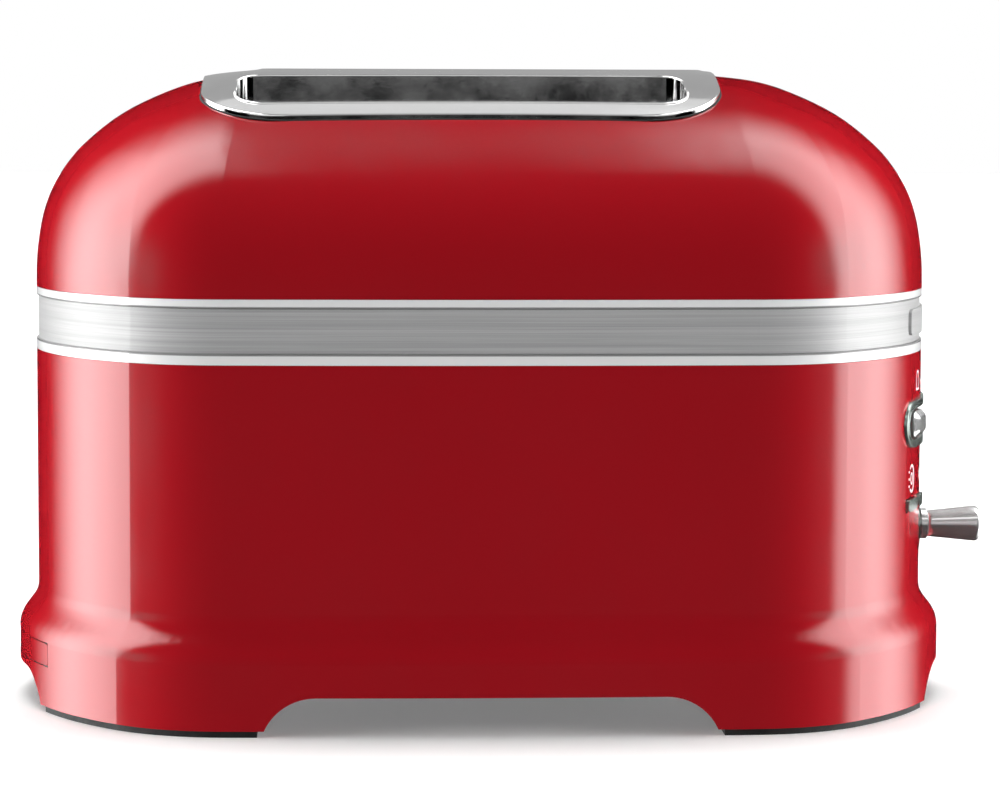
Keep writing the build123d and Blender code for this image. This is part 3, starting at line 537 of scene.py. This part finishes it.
ICON_Z, SHADE_Z = 75.4, 107.8
BAGEL, DEFROST, KEEP_WARM, ONE_SIDE = -42.5, -26, 27, 42.5
LIGHT, DARK = -33.5, 33.5
bagel_ring = arc(BAGEL, ICON_Z, 3.7, 4.8, -130, 260, 0.75)
bagel_hole = arc(BAGEL, ICON_Z, 1.6, 2.1, 0, 360, 0.6)
bagel_ticks = [
    bar(BAGEL - 4.1, ICON_Z + dz, BAGEL - 2.9, ICON_Z + dz, 0.7) for dz in (-2.4, 0, 2.4)
]
mark("mark_bagel", bagel_ring + bagel_hole + bagel_ticks)
mark("mark_defrost", [spoke(DEFROST, ICON_Z, 2.2, angle, 0.55) for angle in (30, 90, 150)])
mark("mark_keep_warm", [quad for dx in (-2.4, 0, 2.4) for quad in wave(KEEP_WARM + dx, ICON_Z)])
toasted_side = bar(ONE_SIDE - 1.3, ICON_Z - 2.6, ONE_SIDE - 1.3, ICON_Z + 1.8, 1.9)
mark("mark_one_side", slice_outline(ONE_SIDE, ICON_Z, 2.8, 6.0, 0.6) + [toasted_side])
mark("mark_shade_light", slice_outline(LIGHT, SHADE_Z, 2.9, 6.4, 0.7))
filling = bar(DARK, SHADE_Z - 2.8, DARK, SHADE_Z + 1.8, 3.8)
mark("mark_shade_dark", slice_outline(DARK, SHADE_Z, 2.9, 6.4, 0.7) + [filling])
ticks = []
for number in range(7):
    across = -24 + 8 * number
    ticks.append(bar(across, SHADE_Z - 1.5, across, SHADE_Z - 0.5 + 0.35 * number, 0.8))
mark("mark_shade_scale", ticks)

# ---------------------------------------------------------------- camera
CAMERA_AT = Vector((-0.05630, -1.21693, 0.20209))
YAW, PITCH, ROLL = -0.04521, 0.0851, 0.00284
FOCAL = 128.72
level_right = Vector((cos(YAW), sin(YAW), 0.0))
forward = Vector((-sin(YAW) * cos(PITCH), cos(YAW) * cos(PITCH), -sin(PITCH)))
level_up = level_right.cross(forward)
right = level_right * cos(ROLL) + level_up * sin(ROLL)
up = level_up * cos(ROLL) - level_right * sin(ROLL)
camera = bpy.data.objects.new("camera", bpy.data.cameras.new("camera"))
camera.data.lens = FOCAL
camera.data.sensor_width = 36.0
camera.data.clip_start, camera.data.clip_end = 0.05, 50.0
turned = Matrix((right, up, -forward)).transposed().to_4x4()
camera.matrix_world = Matrix.Translation(CAMERA_AT) @ turned
scene.collection.objects.link(camera)
scene.camera = camera
scene.view_settings.view_transform = "Standard"
scene.view_settings.look = "None"

# ---------------------------------------------------------------- studio
# Polished surfaces mirror two tall soft boxes beside the toaster. Everything else is filled by a
# wide soft light from above and from the sides. Directions: dx right, dy back, dz up.
OVERHEAD_LIGHT, SIDE_LIGHT = 9.6, 27.0
LIGHT_BELOW, LIGHT_ABOVE = 0.52, 0.06
world = bpy.data.worlds.new("studio")
world.use_nodes = True
scene.world = world
sky = Tree(world.node_tree)
dx, dy, dz = sky.split(sky.add("ShaderNodeTexCoord").outputs["Generated"])
rise = sky.math("MAXIMUM", dz, 0.0)
rise_squared = sky.math("MULTIPLY", rise, rise)


def soft_box(side, strength, fade, inner, inner_soft, outer, outer_soft, top):
    """Radiance of a tall panel at one side; inner and outer are its front and back edges."""
    sideways = sky.math("MULTIPLY", dx, side)
    from_inner = sky.math("SUBTRACT", dy, inner)
    from_outer = sky.math("SUBTRACT", dy, outer)
    tilt = sky.math("ARCTAN2", dz, sideways)
    factors = (
        sky.step(from_inner, -inner_soft, inner_soft),
        sky.step(from_outer, outer_soft, -outer_soft),
        sky.step(tilt, radians(top + 3), radians(top - 3)),
        sky.step(tilt, radians(-60), radians(-30)),
        sky.math("GREATER_THAN", sideways, 0.0),
        sky.step(dz, -0.30, 0.02, 0.80, 1.0),
    )
    level = sky.math("MULTIPLY_ADD", rise_squared, -fade, strength)
    for factor in factors:
        level = sky.math("MULTIPLY", level, factor)
    return level


# The edges of both boxes lean as they rise.
left_inner = sky.math("MULTIPLY_ADD", rise, -0.20, -0.01)
left_outer = sky.math("MULTIPLY_ADD", rise_squared, -0.20, 0.57)
left_box = soft_box(
    side=-1, strength=7.3, fade=1.3, top=84,
    inner=left_inner, inner_soft=0.13, outer=left_outer, outer_soft=0.24,
)
right_lean = sky.math("MULTIPLY_ADD", rise, -0.30, -0.13)
right_inner = sky.math("ADD", right_lean, sky.math("MULTIPLY", rise_squared, 0.32))
right_outer = sky.math("MULTIPLY_ADD", rise_squared, -0.06, 0.52)
right_box = soft_box(
    side=1, strength=6.0, fade=1.2, top=82,
    inner=right_inner, inner_soft=0.15, outer=right_outer, outer_soft=0.22,
)
gloss = sky.math("ADD", left_box, right_box)

# The overhead patch is tilted a little to the back; the side light stays just over the floor.
tilted = sky.math("MULTIPLY_ADD", dz, 0.954, sky.math("MULTIPLY", dy, 0.30))
overhead = sky.step(tilted, 0.87, 1.0)
beside = sky.step(sky.math("ABSOLUTE", dx), 0.80, 1.0)
above_floor = sky.math("MULTIPLY", sky.step(dz, -0.15, 0.10), sky.step(dz, 0.40, 0.10))
all_round = sky.step(dz, -0.1, 0.1, LIGHT_BELOW, LIGHT_ABOVE)
from_sides = sky.math("MULTIPLY", sky.math("MULTIPLY", beside, above_floor), SIDE_LIGHT)
soft = sky.math(
    "ADD", sky.math("MULTIPLY_ADD", overhead, OVERHEAD_LIGHT, all_round), from_sides
)


def backdrop(strength):
    shader = sky.add("ShaderNodeBackground", {"Color": grey(1.0), "Strength": strength})
    return shader.outputs[0]


path = sky.add("ShaderNodeLightPath").outputs
by_gloss = sky.add(
    "ShaderNodeMixShader", {0: path["Is Glossy Ray"], 1: backdrop(soft), 2: backdrop(gloss)}
)
by_camera = sky.add(
    "ShaderNodeMixShader", {0: path["Is Camera Ray"], 1: by_gloss, 2: backdrop(1.0)}
)
sky.add("ShaderNodeOutputWorld", {"Surface": by_camera})
world.cycles.sampling_method = "NONE"

FLOOR_HALF = 8.0
floor_corners = [
    (across * FLOOR_HALF, back * FLOOR_HALF, 0.0)
    for across, back in ((-1, -1), (1, -1), (1, 1), (-1, 1))
]
floor_mesh = bpy.data.meshes.new("floor")
floor_mesh.from_pydata(floor_corners, [], [(0, 1, 2, 3)])
floor = bpy.data.objects.new("floor", floor_mesh)
scene.collection.objects.link(floor)
floor.visible_glossy = False
floor.visible_diffuse = False
paper, paper_tree, paper_shader = principled(
    "pale_paper",
    Roughness=0.9,
    Specular_IOR_Level=0.1,
    Emission_Color=grey(1.0),
    Emission_Strength=0.15,
)
fibre = paper_tree.noise(paper_tree.place(), scale=300.0)
paper_tree.put(paper_shader.inputs["Base Color"], paper_tree.mix(fibre, grey(0.89), grey(0.93)))
floor.data.materials.append(paper)

# Soft cards that only the metal trim sees, so that polished edges read against the enamel.
metal = bpy.data.collections.new("metal_trim")
end_trim = bpy.data.collections.new("end_trim")
chromed = bpy.data.collections.new("chromed")
made_trim = ("front_slot_bead", "back_slot_bead", "frame_edge_bead", "knob_cap")
for piece in [*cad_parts.values(), *(bpy.data.objects[name] for name in made_trim)]:
    finish = piece.material_slots[0].material
    if finish not in (FINISH["chrome"], FINISH["brushed_steel_band"], SATIN, GREEN_REFLECTION_CHROME):
        continue
    metal.objects.link(piece)
    if finish != FINISH["brushed_steel_band"]:
        chromed.objects.link(piece)
    if piece.name != "slot_frame":
        end_trim.objects.link(piece)


def card(name, at, aim, width, height, radiance, receivers):
    """A soft rectangular light for some of the metal trim."""
    data = bpy.data.lights.new(name, "AREA")
    data.shape = "RECTANGLE"
    data.size, data.size_y = width, height
    data.energy = radiance * pi * width * height
    lamp = bpy.data.objects.new(name, data)
    lamp.location = at
    lamp.rotation_euler = (Vector(aim) - Vector(at)).to_track_quat("-Z", "Y").to_euler()
    lamp.visible_camera = False
    lamp.light_linking.receiver_collection = receivers
    scene.collection.objects.link(lamp)


TOP_OF_BODY, MIDDLE_OF_BODY = (0, 0, 0.2), (0, 0, 0.1)
card("back_card", (0, 1.6, 0.95), TOP_OF_BODY, 3.4, 2.0, 0.42, metal)
card("top_card", (0, 0, 1.6), TOP_OF_BODY, 3.0, 3.0, 0.38, chromed)
card("high_front_card", (0, -2.5, 1.25), TOP_OF_BODY, 5.0, 2.2, 0.38, chromed)
card("front_card", (0, -2.2, 0.3), TOP_OF_BODY, 4.0, 0.9, 0.45, end_trim)
card("front_strip", (0.2, -1.6, 1.5), MIDDLE_OF_BODY, 3.0, 0.35, 1.8, end_trim)
